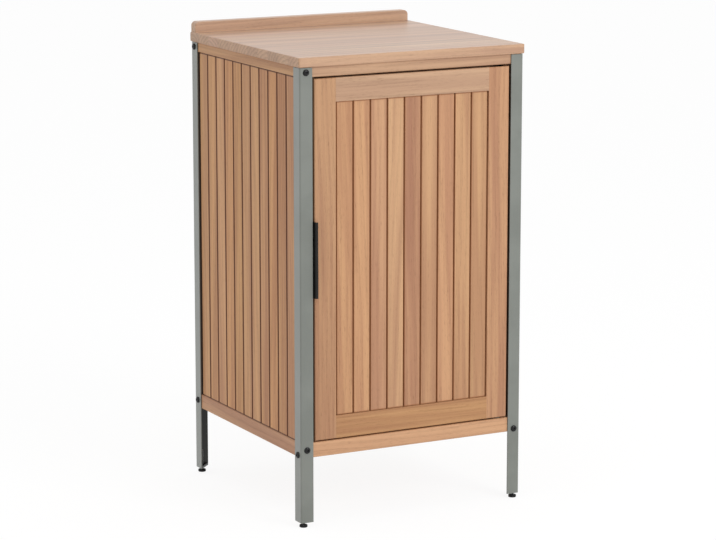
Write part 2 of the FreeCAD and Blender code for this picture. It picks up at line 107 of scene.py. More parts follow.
# %% A socket that can be calculated with
class Shade:
    """One socket of a node tree, or the bare tree where no socket is given."""

    def __init__(self, tree, socket=None):
        self.tree = tree
        self.socket = socket

    def feed(self, socket, value):
        """Link a shade to a socket, or set the socket to a plain value."""
        if isinstance(value, Shade):
            self.tree.links.new(value.socket, socket)
        else:
            socket.default_value = value

    def node(self, kind, settings=None, sockets=None, output=0):
        """Add a node and give back one of its outputs."""
        made = self.tree.nodes.new(kind)
        for name, value in (settings or {}).items():
            setattr(made, name, value)
        for name, value in (sockets or {}).items():
            self.feed(made.inputs[name], value)
        return Shade(self.tree, made.outputs[output])

    def math(self, operation, *values):
        return self.node("ShaderNodeMath", {"operation": operation}, dict(enumerate(values)))

    def __add__(self, other):
        return self.math("ADD", self, other)

    def __radd__(self, other):
        return self.math("ADD", other, self)

    def __sub__(self, other):
        return self.math("SUBTRACT", self, other)

    def __rsub__(self, other):
        return self.math("SUBTRACT", other, self)

    def __mul__(self, other):
        return self.math("MULTIPLY", self, other)

    def __rmul__(self, other):
        return self.math("MULTIPLY", other, self)

    def __truediv__(self, other):
        return self.math("DIVIDE", self, other)

    def __rtruediv__(self, other):
        return self.math("DIVIDE", other, self)

    def __pow__(self, other):
        return self.math("POWER", self, other)

    def __rpow__(self, other):
        return self.math("POWER", other, self)

    def parts(self):
        """The x, y and z of a vector, or the red, green and blue of a colour."""
        first = self.node("ShaderNodeSeparateXYZ", sockets={"Vector": self})
        return [Shade(self.tree, socket) for socket in first.socket.node.outputs]

    def vector(self, x, y, z):
        return self.node("ShaderNodeCombineXYZ", sockets={"X": x, "Y": y, "Z": z})

    def ramp(self, low, high):
        """0 up to low, 1 from high on and a smooth rise between them."""
        settings = {"interpolation_type": "SMOOTHSTEP"}
        sockets = {"Value": self, "From Min": low, "From Max": high}
        return self.node("ShaderNodeMapRange", settings, sockets)

    def blend(self, first, second, share):
        """Two colours mixed by a share.

        A Mix node repeats its names for numbers, vectors and colours, so sockets go by number.
        """
        settings = {"data_type": "RGBA"}
        return self.node("ShaderNodeMix", settings, {0: share, 6: first, 7: second}, 2)

    def cloud(self, place, scale, detail):
        """Soft noise between 0 and 1."""
        sockets = {"Vector": place, "Scale": scale, "Detail": detail}
        return self.node("ShaderNodeTexNoise", sockets=sockets)


print("a shade can:", [name for name in vars(Shade) if not name.startswith("_")])


# %% A finish to fill in
def new_finish(name):
    """A material, its bare tree and its main shader."""
    material = bpy.data.materials.new(name)
    material.use_nodes = True
    return material, Shade(material.node_tree), material.node_tree.nodes["Principled BSDF"]


def linear(red, green, blue):
    """A colour as it looks on a screen, 0 to 255, turned into the light that makes it."""
    shares = [value / 255 for value in (red, green, blue)]
    light = [s / 12.92 if s <= 0.04045 else ((s + 0.055) / 1.055) ** 2.4 for s in shares]
    return (*light, 1.0)


def bump(shade, surface, height, depth, strength):
    """Let a height between 0 and 1 raise the surface by a depth."""
    sockets = {"Height": height, "Distance": depth, "Strength": strength}
    shade.feed(surface.inputs["Normal"], shade.node("ShaderNodeBump", sockets=sockets))


white = linear(255, 255, 255)
print("white is", white)

# %% [markdown]
# ## Studio
# The picture has a white ground and soft light from all round, a little stronger from the
# front than from the left. A white sky gives the soft part, and two large lamps give the
# direction. The camera sees the sky at full white, while as a light it is weaker, so that
# colours come out about as they are written. The floor is white paper. Where it is seen
# directly most of it glows, so it comes out white too and still keeps a faint shadow.

# %% Sky
sky_light = 0.68
world = bpy.data.worlds.new("studio")
world.use_nodes = True
bpy.context.scene.world = world
sky = Shade(world.node_tree)


def seen_directly(shade):
    """1 for the camera's own rays and for mirror images, 0 for light that spreads."""
    rays = shade.node("ShaderNodeLightPath").socket.node.outputs
    camera_ray, glossy, clear = [
        Shade(shade.tree, rays[name])
        for name in ("Is Camera Ray", "Is Glossy Ray", "Is Transmission Ray")
    ]
    return shade.math("MAXIMUM", shade.math("MAXIMUM", camera_ray, glossy), clear)


background = world.node_tree.nodes["Background"]
background.inputs["Color"].default_value = white
sky.feed(background.inputs["Strength"], sky_light + (1 - sky_light) * seen_directly(sky))
print("sky as a light:", sky_light)

# %% Floor
floor_reach = 30.0
floor_glow = 0.86
glow_strength = 1.035
floor_white = 0.95

floor_mesh = bpy.data.meshes.new("studio_floor")
corners = [(-floor_reach, -floor_reach), (floor_reach, -floor_reach)]
corners += [(floor_reach, floor_reach), (-floor_reach, floor_reach)]
floor_mesh.from_pydata([(x, y, 0) for x, y in corners], [], [(0, 1, 2, 3)])
studio_floor = bpy.data.objects.new("studio_floor", floor_mesh)
bpy.context.collection.objects.link(studio_floor)
studio_floor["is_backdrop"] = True

paper, shade, surface = new_finish("studio_paper")
surface.inputs["Base Color"].default_value = (floor_white, floor_white, floor_white, 1)
surface.inputs["Roughness"].default_value = 1.0
surface.inputs["Specular IOR Level"].default_value = 0.0
plain = Shade(shade.tree, surface.outputs[0])
glow = shade.node("ShaderNodeEmission", sockets={"Strength": glow_strength})
mixed = {0: floor_glow * seen_directly(shade), 1: plain, 2: glow}
lit = shade.node("ShaderNodeMixShader", sockets=mixed)
shade.feed(paper.node_tree.nodes["Material Output"].inputs["Surface"], lit)
floor_mesh.materials.append(paper)
print("floor:", 2 * floor_reach, "m across")

# %% Lamps
cabinet_middle = Vector((0, 0, 0.5))
lamps = {
    "front_lamp": {"place": Vector((1.2, -4.0, 2.6)), "size": 2.0, "power": 72},
    "top_lamp": {"place": Vector((-0.8, -0.6, 4.2)), "size": 2.5, "power": 14},
}


def softbox(name, place, size, power):
    """A square lamp that faces the cabinet."""
    light = bpy.data.lights.new(name, "AREA")
    light.size = size
    light.energy = power
    lamp = bpy.data.objects.new(name, light)
    lamp.location = place
    lamp.rotation_euler = (cabinet_middle - place).to_track_quat("-Z", "Y").to_euler()
    bpy.context.collection.objects.link(lamp)


for name, setting in lamps.items():
    softbox(name, **setting)
print("lamps:", list(lamps))

# %% [markdown]
# ## Timber
# All boards are the same light hardwood: straw-coloured, with rose streaks that run along the
# board, faint growth rings and short dark pores. A picture of wood wrapped round a board would
# smear at its ends. Here the colour is worked out in space instead, so that rings and
# streaks run through the board and come out as end grain where it is cut across.
# Each board of a row is given its own number, and with it its own place in the log.

# %% Colours of the timber
straw = linear(203, 156, 115)
rose = linear(177, 128, 95)
umber = linear(126, 83, 52)
print("red of straw, rose and umber:", [round(colour[0], 2) for colour in (straw, rose, umber)])


# %% Where a point lies in its board
def board_chance(shade, number, seed):
    """Three numbers between 0 and 1 that are the same all over one board."""
    sockets = {"W": number + seed}
    colour = shade.node("ShaderNodeTexWhiteNoise", {"noise_dimensions": "1D"}, sockets, "Color")
    return colour.parts()


def place_in_board(shade, node, along, across, seed, row=None):
    """Where a point lies along, beside and inside its board, and how far from a joint of its row.

    A row of boards is given as its start and its pitch on the axis across the boards.
    """
    low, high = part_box(node)
    middle = (low + high) / 2
    axes = dict(zip("xyz", shade.node("ShaderNodeTexCoord", output="Object").parts()))
    through = next(axis for axis in "xyz" if axis not in (along, across))
    place = SimpleNamespace(axes=axes, through=through, low=low, high=high)
    place.length = axes[along]
    place.depth = axes[through] - getattr(middle, through)
    if row:
        start, pitch = row
        number = shade.math("FLOOR", (axes[across] - start) / pitch)
        place.side = axes[across] - start - (number + 0.5) * pitch
        place.from_joint = pitch / 2 - shade.math("ABSOLUTE", place.side)
    else:
        number = 0
        place.side = axes[across] - getattr(middle, across)
        place.from_joint = None
    place.chance = board_chance(shade, number, seed)
    return place


low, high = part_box("door_left_stile")
stile = [round(size / mm) for size in high - low]
print("a stile in mm: across", stile[0], "through", stile[1], "along", stile[2])

# %% [markdown]
# ## Grain
# Rings are the distance from the heart of the log, cut into equal steps. The heart lies at
# another distance for each board and wanders along it, which draws the long arches on a face.
# Streaks, fibres and pores are noise that is drawn out along the board. One noise could not
# be broad and fine at once, so each kind of mark has its own scale.

# %% Growth rings
ring_width = 9.0 * mm
ring_waver = 0.5
late_wood = (0.15, 0.9)
heart_spread = 120 * mm
heart_distance = 70 * mm
heart_nearest = 0.15
heart_lean = 0.05
heart_wander = 44 * mm
wander_noise = {"Scale": 1.4, "Detail": 1.0}
waver_noise = {"stretch": 0.05, "scale": 90.0, "detail": 1.0}
grain_offset = 9.0


def drawn_out(shade, side, depth, length, stretch, scale, detail):
    """Noise along a board: the smaller the stretch, the longer its marks."""
    return shade.cloud(shade.vector(side, depth, length * stretch), scale, detail)


def growth_rings(shade, place):
    """0 in the early wood, rising to 1 in the late wood at the end of each ring."""
    chance = place.chance
    sockets = {"W": place.length + chance[2] * grain_offset, **wander_noise}
    drift = shade.node("ShaderNodeTexNoise", {"noise_dimensions": "1D"}, sockets) - 0.5
    heart_side = place.side + (chance[0] - 0.5) * heart_spread + drift * heart_wander
    lean = place.length * (chance[1] - 0.5) * heart_lean
    heart_depth = place.depth + heart_distance * (chance[1] + heart_nearest) + lean
    radius = (heart_side * heart_side + heart_depth * heart_depth) ** 0.5
    rough = drawn_out(shade, place.side, place.depth, place.length, **waver_noise)
    ring = shade.math("FRACT", radius / ring_width + rough * ring_waver)
    return ring.ramp(*late_wood) - ring.ramp(late_wood[1], 1.0)


print("rings in 100 mm:", round(100 * mm / ring_width, 1))

# %% Streaks, fibres, pores and end grain
streak_noise = {"stretch": 0.03, "scale": 48.0, "detail": 3.0}
fibre_noise = {"stretch": 0.014, "scale": 520.0, "detail": 3.0}
pore_noise = {"stretch": 0.05, "scale": 1500.0, "detail": 1.0}
streak_slide = 1 / streak_noise["stretch"]
streak_edge = (0.36, 0.62)
pore_edge = (0.6, 0.7)
end_edge = (0.5, 0.9)
grain_lean = 0.08


def end_grain(shade, along):
    """1 where a board is cut across, 0 on its faces and edges."""
    facing = dict(zip("xyz", shade.node("ShaderNodeTexCoord", output="Normal").parts()))
    return shade.math("ABSOLUTE", facing[along]).ramp(*end_edge)


def grain_marks(shade, place, along):
    """All the marks of the grain at a point."""
    chance = place.chance
    leaning = place.side + place.length * (chance[0] - 0.5) * grain_lean
    side = leaning + chance[0] * grain_offset
    depth = place.depth + chance[1] * grain_offset
    slid = place.length + chance[2] * streak_slide
    return SimpleNamespace(
        streak=drawn_out(shade, side, depth, slid, **streak_noise).ramp(*streak_edge),
        fibre=drawn_out(shade, side, depth, place.length, **fibre_noise),
        pore=drawn_out(shade, side, depth, place.length, **pore_noise).ramp(*pore_edge),
        rings=growth_rings(shade, place),
        end=end_grain(shade, along),
    )


for kind, noise in (("streak", streak_noise), ("fibre", fibre_noise), ("pore", pore_noise)):
    print(kind, "is about", round(1 / noise["scale"] / mm, 1), "mm wide")

# %% [markdown]
# ## Oiled finish
# Oil deepens the colour and leaves a low sheen. Rose comes in with the streaks, umber with the
# late wood, the pores and the cut ends. A look says how a piece departs from the plain one:
# lighter or darker in tone, richer, redder, or polished as a top that is wiped. That way
# one function serves every board, and no two boards come out alike.

# %% Colour of the grain
rose_share = 0.8
rose_per_redness = 0.4
rose_lost_at_ends = 0.7
ring_dark = 0.2
ring_dark_at_ends = 0.04
fibre_middle = 0.47
fibre_dark = 0.72
pore_dark = 0.3
end_dark = 0.16
umber_edge = (-0.05, 1.05)
hue_middle = 0.5
hue_variety = 0.008
hue_per_redness = 0.008
richness_variety = 0.06


def grain_colour(shade, place, marks, look):
    """Straw, with rose in streaks, umber in late wood, pores, cut ends and joints, and painted shade at
    wall gaps.
    """
    rosy = marks.streak * (rose_share + look.redness) * (1 - marks.end * rose_lost_at_ends)
    colour = shade.blend(straw, rose, rosy + look.redness * rose_per_redness)
    rings = marks.rings * (ring_dark + marks.end * ring_dark_at_ends)
    figure = rings + (marks.fibre - fibre_middle) * fibre_dark
    darker = figure + marks.pore * pore_dark + marks.end * end_dark
    # Glue lines, and on the walls painted shade along both edges of each gap.
    if place.from_joint:
        line = look.joint_line
        darker = darker + (1 - place.from_joint.ramp(line["near"], line["far"])) * line["dark"]
    chance = place.chance
    tint = {
        "Color": shade.blend(colour, umber, darker.ramp(*umber_edge)),
        "Hue": hue_middle + (chance[2] - 0.5) * hue_variety - look.redness * hue_per_redness,
        "Saturation": look.richness * (1 + (chance[0] - 0.5) * richness_variety),
        "Value": look.tone * (1 + (chance[1] - 0.5) * look.variety),
    }
    return shade.node("ShaderNodeHueSaturation", sockets=tint)


print("umber in late wood:", ring_dark, "in pores:", pore_dark, "in cut ends:", end_dark)

# %% The timber finish
# Painted shade: the brown laid into the gaps between boards.
gap_shade_brown = linear(160, 107, 68)
glue_line = {"near": 0.1 * mm, "far": 0.5 * mm, "dark": 0.25}
plain_look = {
    "tone": 1.0,
    "variety": 0.12,
    "richness": 1.0,
    "redness": 0.0,
    "polish": 0.0,
    "gap": gap_shade_brown,
    "joint_line": glue_line,
}
oiled_roughness = 0.46
polish_smooths = 0.2
fibre_roughens = 0.16
end_roughens = 0.16
polish_roughness = 0.3
fibre_rise = 0.5
ring_rise = 0.3
pore_sink = 0.6
grain_depth = 0.15 * mm
grain_strength = 0.4


def timber(node, along, across, seed, row=None, shaded=None, **special):
    """Oiled hardwood for a node whose boards run along one axis.

    Shaded is a function that says where painted shade lies on the piece, in gaps and corners,
    and special is what its look has apart from the plain one.
    """
    look = SimpleNamespace(**{**plain_look, **special})
    material, shade, surface = new_finish(node + "_timber")
    place = place_in_board(shade, node, along, across, seed, row)
    marks = grain_marks(shade, place, along)
    colour = grain_colour(shade, place, marks, look)
    if shaded:
        # Painted shade in gaps and corners, wherever shaded puts it.
        colour = shade.blend(colour, look.gap, shaded(shade, place))
    shade.feed(surface.inputs["Base Color"], colour)
    smooth = oiled_roughness - look.polish * polish_smooths
    rough = smooth + marks.fibre * fibre_roughens + marks.end * end_roughens
    shade.feed(surface.inputs["Roughness"], rough)
    surface.inputs["Coat Weight"].default_value = look.polish
    surface.inputs["Coat Roughness"].default_value = polish_roughness
    relief = marks.fibre * fibre_rise + marks.rings * ring_rise - marks.pore * pore_sink
    bump(shade, surface, relief, grain_depth, grain_strength)
    return material


print("a look has:", list(plain_look))

# %% [markdown]
# ## Shade in gaps and corners
# Shade is painted into the finish where little light reaches: in the gaps between boards,
# where boards meet a rail, and on the posts behind the legs. Light alone leaves such places
# too light, so the finish darkens them with painted shade, by how deep a point lies under
# the face or how near it is to a rail.

# %% Where timber lies in shade
leg_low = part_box("leg_front_left")[0]
leg_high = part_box("leg_back_right")[1]
leg_centre = (leg_low + leg_high) / 2
leg_reach = (leg_high.x - leg_low.x) / 2
post_shade_start = 7 * mm
post_shade_end = 15 * mm
# Depths and distances of the painted shade in gaps and in the corners at the rails.
gap_lit = 0.05 * mm
corner_dark = 1.4 * mm
corner_lit = 3.4 * mm


def gap_and_corner_shade(lower_rail, upper_rail, dark_depth):
    """Painted shade on boards between two rails: in the gaps beside them and in the corners at the
    rails.
    """
    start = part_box(lower_rail)[1].z
    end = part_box(upper_rail)[0].z

    def shaded(shade, place):
        point = place.axes[place.through]
        under_front = point - getattr(place.low, place.through)
        under_back = getattr(place.high, place.through) - point
        sunk = shade.math("MINIMUM", under_front, under_back)
        from_rail = shade.math("MINIMUM", place.axes["z"] - start, end - place.axes["z"])
        in_corner = 1 - from_rail.ramp(corner_dark, corner_lit)
        return shade.math("MAXIMUM", sunk.ramp(gap_lit, dark_depth), in_corner)

    return shaded


def out_from_middle(shade, x, y):
    """How far a point lies from the cabinet's upright middle, sideways or deep, whichever is more."""
    sideways = shade.math("ABSOLUTE", x - leg_centre.x)
    deep = shade.math("ABSOLUTE", y - leg_centre.y)
    return shade.math("MAXIMUM", sideways, deep)


def behind_leg(shade, place):
    """Painted shade: 1 where a corner post lies close behind the legs, 0 where it faces the inside."""
    out = out_from_middle(shade, place.axes["x"], place.axes["y"])
    return out.ramp(leg_reach - post_shade_end, leg_reach - post_shade_start)


print("legs in mm, outside to outside:", round(2 * leg_reach / mm, 1))

# %% [markdown]
# ## Eased edges
# No sawn or folded edge is razor sharp: a maker takes the arris off with a pass of fine paper.
# That small round is what catches the light. The frame's meshes stay as they are and are
# softened by modifiers: one welds the seams, one joins the flat triangles, one rounds the edges.
# Where edges lie close together, Blender keeps the round narrower than it is asked for.

# %% Dress a piece
weld_reach = 0.005 * mm
flat_angle = math.radians(0.5)
round_angle = math.radians(25)
round_segments = 2


def dress(node, material, ease):
    """Give a node its finish and round its edges by a radius."""
    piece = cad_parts[node]
    piece.data.materials.clear()
    piece.data.materials.append(material)
    weld = piece.modifiers.new("weld_seams", "WELD")
    weld.merge_threshold = weld_reach
    flats = piece.modifiers.new("join_flats", "DECIMATE")
    flats.decimate_type = "DISSOLVE"
    flats.angle_limit = flat_angle
    round_edges = piece.modifiers.new("round_edges", "BEVEL")
    round_edges.width = ease
    round_edges.segments = round_segments
    round_edges.limit_method = "ANGLE"
    round_edges.angle_limit = round_angle
    piece.modifiers.new("even_shading", "WEIGHTED_NORMAL")


print("edges are rounded from", round(math.degrees(round_angle)), "degrees up")

# %% [markdown]
# ## Door
# The door is a frame of two stiles and two rails round nine upright boards. With one finish
# for the whole door the grain would run through the joints, so each member has its own, along
# its own axis: upright in the stiles and the boards, level in the rails. One board comes
# from nearer the heart of the log and is darker and redder than its neighbours.

# %% Door frame
frame_ease = 0.35 * mm
door_frame = {
    "door_left_stile": ("z", "x", 3.1, {"tone": 0.93}),
    "door_right_stile": ("z", "x", 8.4, {}),
    "door_top_rail": ("x", "z", 12.7, {"tone": 0.94, "richness": 0.88, "redness": -0.2}),
    "door_bottom_rail": ("x", "z", 17.2, {"tone": 0.9, "richness": 1.06}),
}
for node, (along, across, seed, special) in door_frame.items():
    dress(node, timber(node, along, across, seed, **special), frame_ease)
print("door frame:", list(door_frame))

# %% Door boards
board_ease = 0.5 * mm
door_gap_depth = 0.5 * mm
door_seed = 44.5
door_seed_step = 1.9
heart_board = 5
heart_look = {"tone": 0.87, "redness": 0.16}

# Painted shade in the gaps between door boards and along the rails.
door_gap_shade = gap_and_corner_shade("door_bottom_rail", "door_top_rail", door_gap_depth)
door_boards = sorted(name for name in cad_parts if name.startswith("door_board_"))
for number, node in enumerate(door_boards, 1):
    special = heart_look if number == heart_board else {}
    seed = door_seed + door_seed_step * number
    dress(node, timber(node, "z", "x", seed, shaded=door_gap_shade, **special), board_ease)
print("door boards:", len(door_boards))

# %% [markdown]
# ## Walls
# Each wall is a row of eleven tongued boards. The row is one node, so its finish counts the
# boards itself: it divides the distance from the row's start by the pitch and rounds down.
# Boards of a row meet in the middle of the gap between them, and painted shade darkens
# the arris on either side of the gap.

# %% Boarded walls
wall_boards = 11
wall_ease = 1.0 * mm
tongue = 7.0 * mm
shadow_gap = 2.5 * mm
# Painted shade in the wall gaps, darker than in the door.
wall_gap_depth = 0.2 * mm
wall_gap_shade_brown = linear(92, 46, 16)
# Painted shade on the arris either side of each wall gap.
gap_edge_shade = {"near": 2.4 * mm, "far": 4.0 * mm, "dark": 0.6}
wall_look = {"tone": 1.06, "richness": 1.07, "gap": wall_gap_shade_brown, "joint_line": gap_edge_shade}
walls = {"left": ("y", 41.3), "right": ("y", 57.8), "back": ("x", 73.9)}


def board_row(node, across):
    """Start and pitch of a row, from the middle of one gap to the middle of the next."""
    low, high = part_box(node)
    start = getattr(low, across) + tongue + shadow_gap / 2
    end = getattr(high, across) - tongue - shadow_gap / 2
    return start, (end - start) / wall_boards


for wall, (across, seed) in walls.items():
    node = wall + "_boards"
    row = board_row(node, across)
    gaps = gap_and_corner_shade(wall + "_bottom_rail", wall + "_top_rail", wall_gap_depth)
    dress(node, timber(node, "z", across, seed, row, gaps, **wall_look), wall_ease)
    print(node, "pitch in mm:", round(row[1] / mm, 2))

# %% [markdown]
# ## Worktop and upstand
# The worktop is glued up from staves that run from side to side, so it shows eleven tones
# with fine glue lines between them. Staves as separate pieces would show nothing more, so
# the finish draws them. The upstand is one bar let into the worktop along the back edge.

# %% Worktop
worktop_staves = 11
worktop_seed = 91.2
upstand_seed = 97.5
worktop_ease = 0.6 * mm
stave_margin = 1 * mm
wiped_look = {"polish": 0.5, "richness": 0.88, "tone": 0.95, "variety": 0.2}


def stave_row(node, count):
    """Start and pitch of staves laid from front to back, with the outer ones trimmed a little."""
    low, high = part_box(node)
    return low.y - stave_margin, (high.y - low.y + 2 * stave_margin) / count


row = stave_row("worktop", worktop_staves)
dress("worktop", timber("worktop", "x", "y", worktop_seed, row, **wiped_look), worktop_ease)
dress("upstand", timber("upstand", "x", "z", upstand_seed, **wiped_look), worktop_ease)
print("staves:", worktop_staves, "of", round(row[1] / mm), "mm")

# %% [markdown]
# ## Carcass
# Rails run round the top and the bottom, posts stand in the corners, and a floor of spaced
# boards and one shelf close the inside. They are the same timber, each cut from its own board.
# One finish for all of them would repeat the same figure side by side. So a table gives the
# axis of each piece's grain, and a loop gives each its own seed.

# %% Rails, posts, battens and cleats
carcass_seed = 110.3
carcass_seed_step = 2.3
# Painted shade on the posts, seen through the gaps beside the legs.
post_gap_shade_brown = linear(52, 38, 30)
rail_axes = {"front": "x", "back": "x", "left": "y", "right": "y"}
rail_looks = {
    "front_top_rail": {"tone": 0.9, "richness": 0.92, "redness": -0.1},
    "front_bottom_rail": {"tone": 1.1, "richness": 0.96, "redness": -0.4},
}
post_corners = ("front_left", "front_right", "back_left", "back_right")
post_look = {"shaded": behind_leg, "gap": post_gap_shade_brown}

carcass = {}
for level in ("top", "bottom"):
    for side, axis in rail_axes.items():
        node = f"{side}_{level}_rail"
        carcass[node] = (axis, "z", rail_looks.get(node, {}))
for corner in post_corners:
    carcass["post_" + corner] = ("z", "x", post_look)
for node in ("shelf_battens", "floor_cleats"):
    carcass[node] = ("y", "z", {})

for count, (node, (along, across, special)) in enumerate(carcass.items()):
    seed = carcass_seed + carcass_seed_step * count
    dress(node, timber(node, along, across, seed, **special), frame_ease)
print("carcass pieces:", len(carcass))

# %% Floor and shelf
floor_boards = 5
shelf_staves = 8
laid = {"floor_boards": (floor_boards, 151.6), "shelf": (shelf_staves, 163.4)}
for node, (count, seed) in laid.items():
    row = stave_row(node, count)
    dress(node, timber(node, "x", "y", seed, row), frame_ease)
    print(node, "pitch in mm:", round(row[1] / mm, 1))

# %% [markdown]
# ## Steel legs
# The legs are folded from sheet and powder coated grey. Baked powder levels out to a satin
# skin with a faint ripple, like orange peel, and a slightly uneven sheen. A plain grey would
# look like paper, so a broad noise drifts the colour and a fine one ripples the skin. The
# inner faces of a fold get painted shade: a darker colour and no clear skin.

# %% Powder coat
drift_noise = {"scale": 14.0, "detail": 3.0}
drift_edge = (0.35, 0.7)
ripple_noise = {"scale": 700.0, "detail": 2.0}
ripple_sheen = 0.14
ripple_depth = 0.05 * mm
ripple_strength = 0.4
skin_roughness = 0.3
# Painted shade for the inner faces of the leg angles.
fold_shade_grey = linear(27, 29, 26)


def powder_coat(name, colour, lighter, roughness, gloss=0.5, skin=0.0, inside=None):
    """Satin baked coat with a fine ripple, a clear skin, and painted shade inside a fold."""
    material, shade, surface = new_finish(name)
    place = shade.node("ShaderNodeTexCoord", output="Object")
    ripple = shade.cloud(place, **ripple_noise)
    coat = shade.blend(colour, lighter, shade.cloud(place, **drift_noise).ramp(*drift_edge))
    if inside:
        # Painted shade: the fold's inner faces are darker and lose the clear skin.
        fold_shaded = inside(shade, place)
        coat = shade.blend(coat, fold_shade_grey, fold_shaded)
        skin = skin * (1 - fold_shaded)
    shade.feed(surface.inputs["Base Color"], coat)
    shade.feed(surface.inputs["Roughness"], roughness + (ripple - 0.5) * ripple_sheen)
    surface.inputs["Specular IOR Level"].default_value = gloss
    shade.feed(surface.inputs["Coat Weight"], skin)
    surface.inputs["Coat Roughness"].default_value = skin_roughness
    bump(shade, surface, ripple, ripple_depth, ripple_strength)
    return material


print("ripple is about", round(1 / ripple_noise["scale"] / mm, 1), "mm wide")

# %% Legs
leg_grey = linear(109, 113, 106)
leg_grey_light = linear(118, 122, 115)
leg_roughness = 0.42
leg_wall = 2.5 * mm
leg_ease = 0.3 * mm
inner_margin = 0.1 * mm


def inside_fold(shade, place):
    """Painted shade: 1 on the inner faces of the angles, 0 on their outer faces."""
    x, y = place.parts()[:2]
    inner_face = leg_reach - leg_wall + inner_margin
    return 1 - out_from_middle(shade, x, y).ramp(inner_face, leg_reach - leg_wall / 2)


leg_coat = powder_coat(
    "leg_powder_coat", leg_grey, leg_grey_light, leg_roughness, skin=1.0, inside=inside_fold
)
legs = [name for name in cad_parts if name.startswith("leg_") and name != "leg_bolts"]
for node in legs:
    dress(node, leg_coat, leg_ease)
print("legs:", len(legs))

# %% [markdown]
# ## Turned pieces
# Bolts, feet and screws are round pieces with something that is not round: a hexagon socket,
# a thread, a star recess. Cutting those out with booleans leaves ragged faces. Here each piece
# is a stack of rings joined by faces instead. A ring has a height and a radius, and the
# radius may depend on the angle, which is how a ring becomes a hexagon.


# %% Stack rings into a mesh
def stacked(rings, sides):
    """Vertices and faces of a stack of rings, closed at both ends."""
    vertices = []
    for height, radius in rings:
        for i in range(sides):
            angle = 2 * math.pi * i / sides
            reach = radius(angle) if callable(radius) else radius
            vertices.append(Vector((reach * math.cos(angle), reach * math.sin(angle), height)))
    faces = []
    for k in range(len(rings) - 1):
        for i in range(sides):
            j = (i + 1) % sides
            faces.append((k * sides + i, k * sides + j, (k + 1) * sides + j, (k + 1) * sides + i))
    faces.append(tuple(reversed(range(sides))))
    faces.append(tuple(range((len(rings) - 1) * sides, len(rings) * sides)))
    return vertices, faces


print("two rings of four sides make", len(stacked([(0, 1), (1, 1)], 4)[1]), "faces, a box")

# %% Copies of one form as one piece
sharp_angle = math.radians(35)
upward = Vector((0, 0, 1))


def copies(name, form, places, material, body):
    """One piece made of a form set at places, each a base and the way it points."""
    vertices, faces = form
    every_vertex = []
    every_face = []
    for base, way in places:
        turn = upward.rotation_difference(Vector(way)).to_matrix()
        first = len(every_vertex)
        every_vertex += [turn @ v + Vector(base) for v in vertices]
        every_face += [tuple(first + i for i in face) for face in faces]
    mesh = bpy.data.meshes.new(name)
    mesh.from_pydata(every_vertex, [], every_face)
    mesh.polygons.foreach_set("use_smooth", [True] * len(mesh.polygons))
    mesh.set_sharp_from_angle(angle=sharp_angle)
    mesh.materials.append(material)
    piece = bpy.data.objects.new(name, mesh)
    bpy.context.collection.objects.link(piece)
    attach(piece, body)
    print(name, "copies:", len(places), "faces:", len(every_face))
    return piece


# %% [markdown]
# ## Leg bolts
# Black button-head bolts clamp the legs to the rails. The head is a low dome with a hexagon
# socket. Each leg has three: two through one flange, at the top and the bottom rail,
# and one low through the other flange, into the end of the bottom rail. Twelve could be made
# one by one, but they are all alike, so one head is made and copied to its places. The copies
# take the place of the frame's bolts.

# %% Bolt head
head_radius = 6.5 * mm
head_height = 3.6 * mm
head_rim = 0.7 * mm
head_easing = 0.25 * mm
crown_radius = 3.0 * mm
socket_flats = 4.0 * mm
socket_mouth = 2.6 * mm
socket_depth = 2.2 * mm
shank_radius = 3.0 * mm
shank_length = 2.0 * mm
dome_steps = 7
bolt_sides = 48


def hexagon(across_flats):
    """Radius of a hexagon at an angle."""
    sixth = math.pi / 3
    return lambda angle: across_flats / 2 / math.cos((angle + sixth / 2) % sixth - sixth / 2)


dome = []
for step in range(dome_steps + 1):
    angle = math.pi / 2 * step / dome_steps
    reach = crown_radius + (head_radius - crown_radius) * math.cos(angle)
    dome.append((head_rim + (head_height - head_rim) * math.sin(angle), reach))
under_head = [
    (-shank_length, shank_radius),
    (0, shank_radius),
    (0, head_radius - head_easing),
    (head_easing, head_radius),
]
socket = [
    (head_height, socket_mouth),
    (head_height - head_easing, hexagon(socket_flats)),
    (head_height - socket_depth, hexagon(socket_flats)),
]
bolt = stacked(under_head + dome + socket, bolt_sides)
print("faces of one bolt:", len(bolt[1]))

# %% Bolts in their places
bolt_black = linear(10, 10, 11)
bolt_black_light = linear(16, 16, 18)
bolt_roughness = 0.1
bolt_gloss = 0.3
bolt_high = 16.5 * mm
bolt_low = 6.0 * mm
bolted_faces = {
    "front_left": ((0, -1), (-1, 0)),
    "front_right": ((1, 0), (0, -1)),
    "back_right": ((0, 1), (1, 0)),
    "back_left": ((-1, 0), (0, 1)),
}

top_rail_low, top_rail_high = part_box("front_top_rail")
rail_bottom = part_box("front_bottom_rail")[0].z
upper = (top_rail_low.z + top_rail_high.z) / 2
lower = rail_bottom + bolt_high
lowest = rail_bottom + bolt_low
bolt_places = []
for corner, (main_face, end_face) in bolted_faces.items():
    low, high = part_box("leg_" + corner)
    middle = (low + high) / 2
    half = (high.x - low.x) / 2
    for (x, y), height in ((main_face, upper), (main_face, lower), (end_face, lowest)):
        bolt_places.append(((middle.x + x * half, middle.y + y * half, height), (x, y, 0)))
black_coat = powder_coat("black_satin_coat", bolt_black, bolt_black_light, bolt_roughness, bolt_gloss)
bolts = copies("button_head_bolts", bolt, bolt_places, black_coat, "cabinet")
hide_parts("leg_bolts")

# %% [markdown]
# ## Plastic and zinc
# The feet, the catch and the pivots are moulded plastic or zinc-plated steel. Moulded plastic
# is matt, takes on dust and has the fine texture of its mould. Zinc is cloudy and keeps fine
# rolling marks. As with the coat, each finish is two noises: one broad, one fine.

